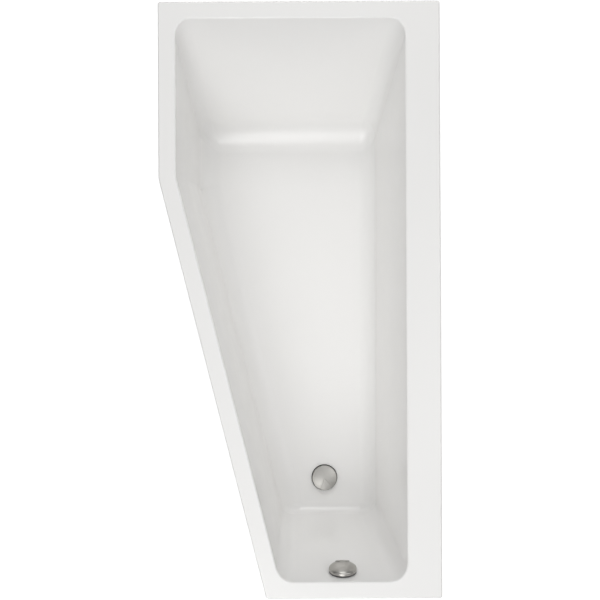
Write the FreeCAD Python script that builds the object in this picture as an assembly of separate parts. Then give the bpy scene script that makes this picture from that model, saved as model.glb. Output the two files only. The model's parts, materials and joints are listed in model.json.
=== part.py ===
import FreeCAD, Part
import math
import os
from collections import namedtuple
from FreeCAD import Placement, Rotation, Vector

# Space-saving acrylic bath, in millimetres. The origin is on the floor under the middle of the outline,
# +Y runs to the head end, +X to the long wall side and +Z up.

# Outline of the rim, seen from above
tub_length = 1600.0
tub_width = 755.0
foot_end_width = 471.5
straight_side_length = 474.5
rim_height = 600.0
rim_lip = 40.0
rim_width_head = 45.0
rim_width_side = 46.7
rim_width_foot = 45.0
rim_width_wall = 92.6
rim_corner_radius = 7.0
rim_edge_radius = 3.5
basin_edge_radius = 5.0

# Basin: the drain is the lowest place of its floor, slopes are degrees from upright, the radius rounds
# its corners and the feet of its walls, and the ease is the flat that softens the foot of the backrest
drain_height = 170.0
floor_pitch = 0.5
slope_head = 30.5
slope_side = 5.0
slope_foot = 15.0
slope_wall = 8.6
basin_radius = 46.0
backrest_ease = 34.0
acrylic = 4.0
laminate = 3.0
laminate_under_drain = 4.0

# Places of the two openings
drain_from_wall = 306.0
drain_from_foot = 262.0
overflow_from_wall = 264.5
overflow_below_rim = 57.0

# Base board and the two foot rails
board_thickness = 16.0
board_margin = 8.0
board_to_drain = 90.0
head_rail_inset = 136.0
foot_rail_inset = 78.0
rail_overhang = 34.0
rail_channel_width = 34.0
rail_depth = 40.0
rail_sheet = 2.5
rail_flange = 16.0
rail_screw_radius = 2.2
rail_screw_head_radius = 4.5
rail_screw_head = 2.5
rail_screw_length = 15.0
rail_screw_inset = 24.0

# Levelling legs
leg_radius = 6.0
leg_from_rail_end = 17.0
leg_above_nut = 18.0
leg_chamfer = 1.2
nut_across_flats = 19.0
nut_height = 10.0
collar_across_flats = 17.0
collar_height = 8.0
collar_lift = 2.0
pad_radius = 30.0
pad_base = 9.0
pad_edge_radius = 3.0
pad_boss_radius = 13.0
pad_boss_height = 18.0
pad_socket_floor = 5.0
sole_thickness = 3.0

# Waste fitting under the drain
drain_hole_radius = 26.0
drain_seat_recess = 2.5
flange_radius = 34.0
flange_plate = 2.5
flange_edge_radius = 1.2
flange_tube_radius = 25.0
flange_tube_wall = 3.5
flange_tube_length = 28.5
flange_seal = 2.0
flange_seal_radius = 38.5
bridge_height = 4.0
bridge_width = 6.0
bridge_hub_radius = 8.0
body_gasket = 4.0
body_collar_radius = 42.0
body_collar = 5.0
chamber_radius = 33.0
body_wall = 5.0
body_height = 49.0
body_floor = 3.0
pipe_radius = 20.0
pipe_wall = 2.5
body_nozzle = 16.0
union_nut_radius = 28.0
union_nut_height = 20.0
union_nut_lip = 3.0
union_seal_height = 4.0
grip_flutes = 16
grip_flute_radius = 2.4
grip_flute_depth = 1.4
trap_leg = 10.0
trap_bend_radius = 42.0
trap_outlet_leg = 20.0
outlet_bend_radius = 28.0
outlet_rise = 8.0
outlet_length = 104.0

# Plug and its lifter
cap_radius = 36.8
cap_edge = 10.0
cap_dome = 6.0
cap_edge_radius = 1.2
cap_tab = 1.0
cap_skirt = 2.0
cap_skirt_width = 6.0
tab_angle = 62.0
cap_tab_turn = 10.0
cap_socket = 4.5
plug_seal_radius = 29.0
plug_seal_width = 6.0
plug_seal = 2.5
stem_radius = 4.0
stem_chamfer = 0.5
plug_lift = 8.0
lever_arm = 16.0
lever_thickness = 6.0
lever_bar = 5.0
lever_hub_radius = 5.0
lever_tip_radius = 3.0
lever_pin_radius = 2.0
lever_drop = 22.0
eye_pin_radius = 2.0
eye_thickness = 3.0
eye_wall = 2.5
core_radius = 1.5
sheath_radius = 3.0
sheath_bore_radius = 1.7
sheath_seat = 10.0
port_radius = 6.0
port_length = 21.0
core_reach = 20.0

# Overflow fitting behind the foot wall
overflow_hole_radius = 27.0
overflow_gasket = 3.0
cup_radius = 37.0
cup_wall = 3.0
cup_depth = 34.0
overflow_flange_radius = 33.0
overflow_flange_plate = 3.0
overflow_flange_edge = 1.5
overflow_tube_wall = 2.5
overflow_tube_length = 12.0
spoke_width = 10.0
spoke_height = 8.0
spoke_hub_radius = 9.0
spoke_angles = (40.0, 140.0, 270.0)
screw_circle_radius = 19.0
screw_radius = 2.4
screw_head_radius = 4.4
screw_head = 2.6
screw_head_edge = 0.9
screw_tip_gap = 4.0
boss_radius = 5.0
spindle_radius = 4.0
drum_flange_radius = 9.0
drum_width = 6.0
drum_cheek = 2.0
knob_turn = 80.0
knob_radius = 38.2
knob_gap = 2.4
knob_edge = 10.6
knob_dome = 12.0
knob_edge_radius = 6.0
knob_back_radius = 1.0
knob_tab = 2.7
knob_wall = 3.5
knob_hub_radius = 9.0
grub_radius = 2.0
spout_drop = 36.0
spout_overlap = 6.0
gland_radius = 6.0
gland_length = 12.0

# Overflow hose and its two couplings
hose_height_on_body = 24.0
hose_stub = 58.0
hose_crest_radius = 14.0
hose_root_radius = 12.4
hose_bore_radius = 11.0
hose_bend_radius = 135.0
hose_ribs = 60
rib_slope = 1.3
rib_groove = 1.9
hose_nut_radius = 19.0
hose_nut_height = 24.0

# Route of the control cable
cable_swing = 115.0
cable_top_bend = 130.0
cable_low_bend = 130.0
cable_port_bend = 78.0

# Clearances
fit = 0.05
thread_fit = 0.1
seat_fit = 0.3
lifter_play = 0.5
overshoot = 20.0
tolerance = 0.01


Side = namedtuple("Side", "normal reach rim_width slope")


def meet(first, second, third):
    """Common point of three planes, each a normal and its distance."""
    a, b, c = first[0], second[0], third[0]
    total = b.cross(c) * first[1] + c.cross(a) * second[1] + a.cross(b) * third[1]
    return total * (1.0 / a.dot(b.cross(c)))


def polygon_face(points):
    return Part.Face(Part.makePolygon(points + points[:1]))


def prism(points, low, high):
    base = [Vector(point.x, point.y, low) for point in points]
    return polygon_face(base).extrude(Vector(0, 0, high - low))


def box(low, high):
    size = high - low
    return Part.makeBox(size.x, size.y, size.z, low)


def cylinder(radius, low, high, centre=Vector(0, 0, 0)):
    return Part.makeCylinder(radius, high - low, Vector(centre.x, centre.y, low))


def ring(outer, inner, low, high, centre=Vector(0, 0, 0)):
    return cylinder(outer, low, high, centre).cut(cylinder(inner, low, high, centre))


def hexagon(across_flats, low, high, centre=Vector(0, 0, 0)):
    corner = across_flats / math.sqrt(3.0)
    turns = [math.radians(60.0 * i) for i in range(6)]
    points = [centre + Vector(corner * math.cos(turn), corner * math.sin(turn), 0) for turn in turns]
    return prism(points, low, high)


def grip_ring(outer, inner, low, high):
    """Union nut: a ring with shallow finger flutes round its outside."""
    nut = ring(outer, inner, low, high)
    for i in range(grip_flutes):
        turn = math.tau * i / grip_flutes
        middle = Vector(math.cos(turn), math.sin(turn), 0) * (outer + grip_flute_radius - grip_flute_depth)
        nut = nut.cut(cylinder(grip_flute_radius, low, high, middle))
    return nut


def placed(shape, placement):
    moved = shape.copy()
    moved.Placement = placement.multiply(moved.Placement)
    return moved


def frame_at(origin, axis, across):
    """Placement whose Z is the axis and whose X lies near the given direction."""
    up = Vector(axis).normalize()
    return Placement(origin, Rotation(Vector(across), up.cross(Vector(across)), up, "ZXY"))


def route(points, radii):
    """Straight runs between the points, joined by tangent arcs."""
    edges = []
    last = points[0]
    for before, corner, after, radius in zip(points, points[1:], points[2:], radii):
        back = (before - corner).normalize()
        on = (after - corner).normalize()
        half = back.getAngle(on) / 2.0
        start = corner + back * (radius / math.tan(half))
        end = corner + on * (radius / math.tan(half))
        inward = (back + on).normalize()
        middle = corner + inward * (radius / math.sin(half) - radius)
        edges.append(Part.LineSegment(last, start).toShape())
        edges.append(Part.Arc(start, middle, end).toShape())
        last = end
    edges.append(Part.LineSegment(last, points[-1]).toShape())
    return Part.Wire(edges)


def swept(path, radius):
    start = path.Edges[0].valueAt(path.Edges[0].FirstParameter)
    along = path.Edges[0].tangentAt(path.Edges[0].FirstParameter)
    circle = Part.Wire(Part.Circle(start, along, radius).toShape())
    return path.makePipeShell([circle], True, False)


def pipe(path, radius, bore):
    return swept(path, radius).cut(swept(path, bore))


def along_path(path, distance):
    """Point and direction at a distance along a route."""
    runs = path.Edges
    while len(runs) > 1 and distance > runs[0].Length:
        distance -= runs.pop(0).Length
    edge = runs[0]
    at = edge.getParameterByLength(min(distance, edge.Length))
    return edge.valueAt(at), edge.tangentAt(at)


def dome(radius, edge, rise, low):
    """Round cap with an upright edge and a domed top."""
    shoulder = low + edge
    sphere_radius = (radius ** 2 + rise ** 2) / (2.0 * rise)
    halfway = radius / 2.0
    halfway_height = shoulder + rise - sphere_radius + math.sqrt(sphere_radius ** 2 - halfway ** 2)
    crown = Vector(0, 0, shoulder + rise)
    corners = [Vector(radius, 0, shoulder), Vector(radius, 0, low), Vector(0, 0, low), crown]
    arc = Part.Arc(crown, Vector(halfway, 0, halfway_height), corners[0]).toShape()
    profile = Part.Wire([arc] + Part.makePolygon(corners).Edges)
    return Part.Face(profile).revolve(Vector(0, 0, 0), Vector(0, 0, 1), 360)


def sector(radius, turn, low, high):
    """Wedge of a cylinder about the Z axis."""
    slice_shape = Part.makeCylinder(radius, high - low, Vector(0, 0, low), Vector(0, 0, 1), tab_angle)
    slice_shape.rotate(Vector(0, 0, 0), Vector(0, 0, 1), turn - tab_angle / 2.0)
    return slice_shape


def with_tab(cap, raised, radius, turn, low, crown):
    """Cap with one sector of a flatter dome, which stands out at the edge as a grip."""
    tab = raised.common(sector(radius, turn, low, crown))
    return cap.cut(sector(radius + overshoot, turn, low, crown + overshoot)).fuse(tab)


def save(name, *solids):
    shape = solids[0] if len(solids) == 1 else Part.makeCompound(list(solids))
    shape.exportStep("parts/" + name + ".step")
    print(name, len(shape.Solids), round(shape.Volume / 1000.0, 2), shape.isValid())


# The five sides of the outline, in order round it: head, straight side, tapered side, foot and wall

def taper_side():
    bend = Vector(-tub_width / 2, tub_length / 2 - straight_side_length, 0)
    foot = Vector(tub_width / 2 - foot_end_width, -tub_length / 2, 0)
    run = (foot - bend).normalize()
    normal = Vector(run.y, -run.x, 0)
    return Side(normal, normal.dot(bend), rim_width_side, slope_side)


sides = [
    Side(Vector(0, 1, 0), tub_length / 2, rim_width_head, slope_head),
    Side(Vector(-1, 0, 0), tub_width / 2, rim_width_side, slope_side),
    taper_side(),
    Side(Vector(0, -1, 0), tub_length / 2, rim_width_foot, slope_foot),
    Side(Vector(1, 0, 0), tub_width / 2, rim_width_wall, slope_wall),
]
taper, foot_side = sides[2], sides[3]

# Heights that the fittings share
drain = Vector(tub_width / 2 - drain_from_wall, drain_from_foot - tub_length / 2, drain_height)
seat_height = drain.z - drain_seat_recess
underside = drain.z - acrylic - laminate_under_drain
board_low = underside - board_thickness
tub_wall = acrylic + laminate


def outline(inset):
    """Corners of the rim outline, moved in by the inset; corner i lies between sides i - 1 and i."""
    level = (Vector(0, 0, 1), 0.0)
    lines = [(side.normal, side.reach - inset) for side in sides]
    return [meet(lines[i - 1], lines[i], level) for i in range(len(lines))]


def side_plane(side, offset):
    lean = math.tan(math.radians(side.slope))
    reach = side.reach - side.rim_width + offset / math.cos(math.radians(side.slope))
    return side.normal - Vector(0, 0, lean), reach - lean * rim_height


def floor_plane(offset):
    fall = math.tan(math.radians(floor_pitch))
    level = drain.z - offset / math.cos(math.radians(floor_pitch))
    return Vector(0, -fall, 1), level - fall * drain.y


def basin(offset, floor, roof_height):
    """Rounded body of the basin, grown outwards by the offset."""
    planes = [side_plane(side, offset) for side in sides]
    roof = (Vector(0, 0, 1), roof_height)
    count = len(planes)
    upper = [meet(planes[i - 1], planes[i], roof) for i in range(count)]
    lower = [meet(planes[i - 1], planes[i], floor) for i in range(count)]
    faces = [polygon_face(upper), polygon_face(lower)]
    for i in range(count):
        j = (i + 1) % count
        faces.append(polygon_face([upper[i], upper[j], lower[j], lower[i]]))
    block = Part.Solid(Part.Shell(faces))
    if block.Volume < 0:
        block.reverse()
    backrest_foot = max(block.Edges, key=lambda edge: edge.CenterOfMass.y - edge.CenterOfMass.z)
    half = math.radians((90.0 + slope_head) / 2)
    ease = backrest_ease + offset * (1 / math.sin(half) - 1) / math.cos(half)
    block = block.makeChamfer(ease, [backrest_foot])
    edges = [edge for edge in block.Edges if edge.BoundBox.ZMin < roof_height - tolerance]
    return block.makeFillet(basin_radius + offset, edges)


def rim_prism(inset, low, high, corner):
    block = prism(outline(inset), low, high)
    edges = [edge for edge in block.Edges if edge.Vertexes[0].Z != edge.Vertexes[1].Z]
    return block.makeFillet(corner, edges)


def loop_at(shape, height):
    edges = []
    for edge in shape.Edges:
        if max(abs(edge.BoundBox.ZMin - height), abs(edge.BoundBox.ZMax - height)) < tolerance:
            edges.append(edge)
    return edges


# Overflow frame: Z points into the basin, square to the foot wall, and Y runs up the wall
foot_lean = math.radians(slope_foot)
overflow_y = rim_width_foot - tub_length / 2 + overflow_below_rim * math.tan(foot_lean)
overflow = Vector(tub_width / 2 - overflow_from_wall, overflow_y, rim_height - overflow_below_rim)
overflow_axis = Vector(0, math.cos(foot_lean), math.sin(foot_lean))
overflow_frame = frame_at(overflow, overflow_axis, Vector(-1, 0, 0))


def on_overflow(shape):
    return placed(shape, overflow_frame)


def in_overflow(x, y, z):
    return overflow_frame.multVec(Vector(x, y, z))


def tub_pieces():
    lip_low = rim_height - rim_lip
    rim = rim_prism(0.0, lip_low, rim_height, rim_corner_radius)
    rim = rim.makeFillet(rim_edge_radius, loop_at(rim, rim_height))
    hollow = rim_prism(acrylic, lip_low, rim_height - acrylic, rim_corner_radius - acrylic)
    outside = basin(acrylic, floor_plane(acrylic), rim_height - acrylic / 2)
    inside = basin(0.0, floor_plane(0.0), rim_height + overshoot)
    shell = rim.cut(hollow).fuse(outside).cut(inside)
    inner_loop = []
    for edge in loop_at(shell, rim_height):
        reaches = [side.normal.dot(edge.CenterOfMass) - side.reach + side.rim_width for side in sides]
        if max(reaches) < tolerance:
            inner_loop.append(edge)
    shell = shell.makeFillet(basin_edge_radius, inner_loop)
    drain_hole = cylinder(drain_hole_radius, underside - overshoot, drain.z + overshoot, drain)
    seat = cylinder(flange_seal_radius + seat_fit, seat_height, drain.z + overshoot, drain)
    overflow_hole = on_overflow(cylinder(overflow_hole_radius, -tub_wall - overshoot, overshoot))
    shell = shell.cut(drain_hole.fuse(seat)).cut(overflow_hole)
    level = (Vector(0, 0, 1), underside)
    backing = basin(tub_wall, level, rim_height - acrylic)
    backing = backing.cut(basin(acrylic, floor_plane(acrylic), rim_height))
    backing = backing.cut(drain_hole).cut(overflow_hole)
    save("tub_shell", shell)
    save("glass_fibre_backing", backing)


def board_lines():
    """Edges of the flat underside between the coves, with the foot end stopped short of the drain."""
    lines = []
    for side in sides:
        normal, reach = side_plane(side, tub_wall)
        half = math.radians((90.0 - side.slope) / 2)
        flat = reach - normal.z * underside - (basin_radius + tub_wall) * math.tan(half)
        lines.append((side.normal, flat - board_margin))
    lines[3] = (foot_side.normal, foot_side.normal.dot(drain) - board_to_drain)
    return lines


def board_span(y):
    """Left and right edges of the base board at a place along the tub."""
    lines = board_lines()
    left = (lines[2][1] - taper.normal.y * y) / taper.normal.x
    return max(left, -lines[1][1]), lines[4][1]


board_head_end = board_lines()[0][1]
board_foot_end = -board_lines()[3][1]
rail_places = {"head": board_head_end - head_rail_inset, "foot": board_foot_end + foot_rail_inset}
rail_low = board_low - rail_depth
leg_places = {}
for rail_name, rail_y in rail_places.items():
    board_left, board_right = board_span(rail_y)
    leg_places[rail_name + "_left"] = Vector(board_left - rail_overhang + leg_from_rail_end, rail_y, 0)
    leg_places[rail_name + "_right"] = Vector(board_right + rail_overhang - leg_from_rail_end, rail_y, 0)


def rail_screw_places():
    reach = rail_channel_width / 2 + rail_sheet + rail_flange / 2
    places = []
    for y in rail_places.values():
        left, right = board_span(y)
        for x in (left + rail_screw_inset, right - rail_screw_inset):
            places += [Vector(x, y - reach, 0), Vector(x, y + reach, 0)]
    return places


def board_and_rails():
    lines = board_lines()
    level = (Vector(0, 0, 1), 0.0)
    board = prism([meet(lines[i - 1], lines[i], level) for i in range(len(lines))], board_low, underside)
    screw_low = board_low - rail_sheet
    screws = []
    pilot_holes = []
    for place in rail_screw_places():
        head = cylinder(rail_screw_head_radius, screw_low - rail_screw_head, screw_low, place)
        screws.append(head.fuse(cylinder(rail_screw_radius, screw_low, screw_low + rail_screw_length, place)))
        hole_high = screw_low + rail_screw_length + fit
        pilot_holes.append(cylinder(rail_screw_radius + fit, screw_low, hole_high, place))
    save("base_board", board.cut(Part.makeCompound(pilot_holes)))
    for name, y in rail_places.items():
        left, right = board_span(y)
        start, end = left - rail_overhang, right + rail_overhang
        half = rail_channel_width / 2
        outer = half + rail_sheet
        channel = box(Vector(start, y - outer, rail_low), Vector(end, y + outer, board_low))
        channel = channel.cut(box(Vector(start, y - half, rail_low + rail_sheet), Vector(end, y + half, board_low)))
        flange_reach = outer + rail_flange
        flanges = box(Vector(start, y - flange_reach, screw_low), Vector(end, y + flange_reach, board_low))
        flanges = flanges.cut(box(Vector(start, y - outer, screw_low), Vector(end, y + outer, board_low)))
        rail = channel.fuse(flanges).cut(Part.makeCompound(pilot_holes))
        for place in leg_places.values():
            rail = rail.cut(cylinder(leg_radius + seat_fit, rail_low, rail_low + rail_sheet, place))
        save(name + "_rail", rail.removeSplitter())
    save("rail_screws", *screws)


def legs():
    pad_low = sole_thickness
    pad_top = pad_low + pad_base + pad_boss_height
    socket_low = pad_low + pad_socket_floor
    weld_low = rail_low + rail_sheet
    leg_top = weld_low + nut_height + leg_above_nut
    weld_nuts = []
    lock_nuts = []
    for name, place in leg_places.items():
        bore = cylinder(leg_radius + thread_fit, rail_low - nut_height, weld_low + nut_height, place)
        weld_nuts.append(hexagon(nut_across_flats, weld_low, weld_low + nut_height, place).cut(bore))
        lock_nuts.append(hexagon(nut_across_flats, rail_low - nut_height, rail_low, place).cut(bore))
        rod = cylinder(leg_radius, socket_low, leg_top, place)
        rod = rod.makeChamfer(leg_chamfer, loop_at(rod, leg_top))
        collar_low = pad_top + collar_lift
        screw = rod.fuse(hexagon(collar_across_flats, collar_low, collar_low + collar_height, place))
        save("leg_screw_" + name, screw)
        pad = cylinder(pad_radius, pad_low, pad_low + pad_base, place)
        pad = pad.makeFillet(pad_edge_radius, loop_at(pad, pad_low + pad_base))
        pad = pad.fuse(cylinder(pad_boss_radius, pad_low, pad_top, place))
        save("foot_pad_" + name, pad.cut(cylinder(leg_radius + fit, socket_low, pad_top, place)))
        save("foot_sole_" + name, cylinder(pad_radius, 0.0, sole_thickness, place))
    save("rail_nuts", *weld_nuts)
    save("lock_nuts", *lock_nuts)


# Heights down the waste fitting, and the direction from the drain to the overflow
flange_low = seat_height + flange_seal
flange_top = flange_low + flange_plate
tube_low = flange_low - flange_tube_length
body_top = underside - body_gasket
body_low = body_top - body_height
body_bore = flange_tube_radius + fit
body_radius = chamber_radius + body_wall
nozzle_low = body_low - body_nozzle
lever_height = tube_low - lever_drop
lever_pivot = Vector(drain.x - lever_arm, drain.y, lever_height)
eye_height = lever_height + lever_arm
stem_low = lever_height + lever_tip_radius + lifter_play
spout_root = in_overflow(0, -cup_radius, -tub_wall - overflow_gasket - cup_depth / 2)
hose_top = spout_root - Vector(0, 0, spout_drop)
hose_direction = Vector(hose_top.x - drain.x, hose_top.y - drain.y, 0)
hose_span = hose_direction.Length
hose_direction.normalize()
hose_level = body_low + hose_height_on_body
hose_end = Vector(drain.x, drain.y, hose_level) + hose_direction * hose_stub


def waste_flange():
    plate = cylinder(flange_radius, flange_low, flange_top, drain)
    plate = plate.makeFillet(flange_edge_radius, loop_at(plate, flange_top))
    tube = cylinder(flange_tube_radius, tube_low, flange_low, drain)
    bore = cylinder(flange_tube_radius - flange_tube_wall, tube_low, flange_top, drain)
    flange = plate.fuse(tube).cut(bore)
    bridge = cylinder(bridge_hub_radius, tube_low, tube_low + bridge_height, drain)
    reach = flange_tube_radius - flange_tube_wall / 2
    for across in (Vector(reach, bridge_width / 2, 0), Vector(bridge_width / 2, reach, 0)):
        low = Vector(drain.x, drain.y, tube_low) - across
        bridge = bridge.fuse(box(low, low + across * 2 + Vector(0, 0, bridge_height)))
    guide = cylinder(stem_radius + fit, tube_low, flange_top, drain)
    save("waste_flange", flange.fuse(bridge).cut(guide).removeSplitter())
    save("waste_flange_seal", ring(flange_seal_radius, drain_hole_radius, seat_height, flange_low, drain))
    save("waste_body_gasket", ring(body_collar_radius, drain_hole_radius, body_top, underside, drain))


def waste_body():
    body = cylinder(body_radius, body_low, tube_low + body_wall, drain)
    body = body.fuse(cylinder(body_bore + body_wall, body_low, body_top, drain))
    body = body.fuse(cylinder(body_collar_radius, body_top - body_collar, body_top, drain))
    body = body.fuse(cylinder(pipe_radius, nozzle_low, body_low, drain))
    middle = Vector(drain.x, drain.y, hose_level)
    stub = Part.makeCylinder(hose_crest_radius, hose_stub, middle, hose_direction)
    eye = Vector(drain.x, drain.y, eye_height)
    port = Part.makeCylinder(port_radius, body_radius + port_length, eye, Vector(-1, 0, 0))
    body = body.fuse(stub).fuse(port)
    chamber = cylinder(chamber_radius, body_low + body_floor, tube_low, drain)
    neck = cylinder(body_bore, body_low + body_floor, body_top, drain)
    outlet = cylinder(pipe_radius - pipe_wall, nozzle_low, body_top, drain)
    inlet = Part.makeCylinder(hose_bore_radius, hose_stub, middle, hose_direction)
    core_hole = Part.makeCylinder(core_radius + fit, body_radius + port_length, core_line(0), Vector(-1, 0, 0))
    socket_start = core_line(body_radius + port_length - sheath_seat)
    socket = Part.makeCylinder(sheath_radius + fit, sheath_seat, socket_start, Vector(-1, 0, 0))
    pin_hole = lever_pin(lever_pin_radius + fit)
    for hollow in (chamber, neck, outlet, inlet, core_hole, socket, pin_hole):
        body = body.cut(hollow)
    save("waste_body", body)


def core_line(distance):
    """Point on the line of the cable core, at a distance from the drain axis."""
    return Vector(drain.x - distance, drain.y + core_side(), eye_height)


def core_side():
    return lever_thickness / 2 + seat_fit + eye_thickness / 2


def lever_pin(radius):
    half = math.sqrt(chamber_radius ** 2 - lever_arm ** 2) + body_wall / 2
    return Part.makeCylinder(radius, 2 * half, lever_pivot - Vector(0, half, 0), Vector(0, 1, 0))


def across_lever(radius, width, x, z, start=None):
    """Cylinder along Y in the plane of the lever, which lies in X and Z."""
    low = -width / 2 if start is None else start
    return Part.makeCylinder(radius, width, Vector(x, drain.y + low, z), Vector(0, 1, 0))


def lifter():
    half = lever_thickness / 2
    hub = across_lever(lever_hub_radius, lever_thickness, lever_pivot.x, lever_height)
    tip = across_lever(lever_tip_radius, lever_thickness, drain.x, lever_height)
    rise = lever_bar / 2
    lift_bar = box(
        Vector(lever_pivot.x, drain.y - half, lever_height - rise),
        Vector(drain.x, drain.y + half, lever_height + rise),
    )
    pull_bar = box(
        Vector(lever_pivot.x - rise, drain.y - half, lever_height),
        Vector(lever_pivot.x + rise, drain.y + half, eye_height),
    )
    crown = across_lever(rise, lever_thickness, lever_pivot.x, eye_height)
    eye_pin = across_lever(eye_pin_radius, half + eye_thickness + 2 * seat_fit, lever_pivot.x, eye_height, 0.0)
    lever = hub.fuse([tip, lift_bar, pull_bar, crown, eye_pin])
    bore = across_lever(lever_pin_radius + fit, lever_thickness, lever_pivot.x, lever_height)
    save("lifter_lever", lever.cut(bore).removeSplitter())
    save("lever_pin", lever_pin(lever_pin_radius))
    slot = eye_pin_radius + lifter_play
    swing = lever_arm * (1 - math.sqrt(1 - (plug_lift / lever_arm) ** 2))
    side = core_side()
    start = side - eye_thickness / 2
    block = across_lever(slot + eye_wall, eye_thickness, lever_pivot.x, eye_height, start)
    low_block = across_lever(slot + eye_wall, eye_thickness, lever_pivot.x, eye_height - swing, start)
    web = box(
        Vector(lever_pivot.x - slot - eye_wall, drain.y + start, eye_height - swing),
        Vector(lever_pivot.x + slot + eye_wall, drain.y + start + eye_thickness, eye_height),
    )
    hole = across_lever(slot, eye_thickness, lever_pivot.x, eye_height, start)
    low_hole = across_lever(slot, eye_thickness, lever_pivot.x, eye_height - swing, start)
    gap = box(
        Vector(lever_pivot.x - slot, drain.y + start, eye_height - swing),
        Vector(lever_pivot.x + slot, drain.y + start + eye_thickness, eye_height),
    )
    eye = block.fuse([low_block, web]).cut(hole).cut(low_hole).cut(gap)
    rod_start = core_line(lever_arm + slot + eye_wall / 2)
    rod = Part.makeCylinder(core_radius, core_reach, rod_start, Vector(-1, 0, 0))
    save("cable_eye", eye.fuse(rod).removeSplitter())


def plug():
    cap_low = flange_top + plug_seal - cap_skirt
    shoulder = cap_low + cap_edge
    cap = dome(cap_radius, cap_edge, cap_dome, cap_low)
    cap = cap.makeFillet(cap_edge_radius, loop_at(cap, shoulder))
    raised = dome(cap_radius, cap_edge + cap_tab, cap_dome - cap_tab, cap_low)
    turn = cap_tab_turn - 90.0
    cap = with_tab(cap, raised, cap_radius, turn, shoulder - cap_edge_radius, shoulder + cap_dome)
    cap = cap.cut(cylinder(cap_radius - cap_skirt_width, cap_low, cap_low + cap_skirt))
    stem_top = cap_low + cap_skirt + cap_socket
    cap = cap.cut(cylinder(stem_radius + fit, cap_low, stem_top + fit))
    save("plug_cap", placed(cap.removeSplitter(), Placement(Vector(drain.x, drain.y, 0), Rotation())))
    seal = ring(plug_seal_radius, plug_seal_radius - plug_seal_width, flange_top, flange_top + plug_seal, drain)
    save("plug_seal", seal)
    stem = cylinder(stem_radius, stem_low, stem_top, drain)
    save("plug_stem", stem.makeChamfer(stem_chamfer, loop_at(stem, stem_low)))


def trap():
    right = Vector(1, 0, 0)
    up = Vector(0, 0, 1)
    inlet = Vector(drain.x, drain.y, nozzle_low)
    turn_start = inlet - up * trap_leg
    turn_end = turn_start + right * (2 * trap_bend_radius)
    turn_low = turn_start + right * trap_bend_radius - up * trap_bend_radius
    joint = turn_end + up * trap_outlet_leg
    runs = [Part.LineSegment(inlet, turn_start), Part.Arc(turn_start, turn_low, turn_end)]
    runs.append(Part.LineSegment(turn_end, joint))
    bend_path = Part.Wire([run.toShape() for run in runs])
    save("trap_bend", pipe(bend_path, pipe_radius, pipe_radius - pipe_wall))
    level = joint + up * (outlet_rise + outlet_bend_radius)
    elbow = route([joint, level, level + right * outlet_length], [outlet_bend_radius])
    save("outlet_elbow", pipe(elbow, pipe_radius, pipe_radius - pipe_wall))
    nuts = []
    seals = []
    for place in (inlet, joint):
        half = union_nut_height / 2
        seal_outer = union_nut_radius - union_nut_lip
        nut = grip_ring(union_nut_radius, pipe_radius + thread_fit, -half, half)
        groove = ring(seal_outer, pipe_radius, -union_seal_height / 2, union_seal_height / 2)
        nuts.append(placed(nut.cut(groove), Placement(place, Rotation())))
        reach = union_seal_height / 2
        seals.append(placed(ring(seal_outer, pipe_radius, -reach, reach), Placement(place, Rotation())))
    save("trap_nuts", *nuts)
    save("trap_seals", *seals)


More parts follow.
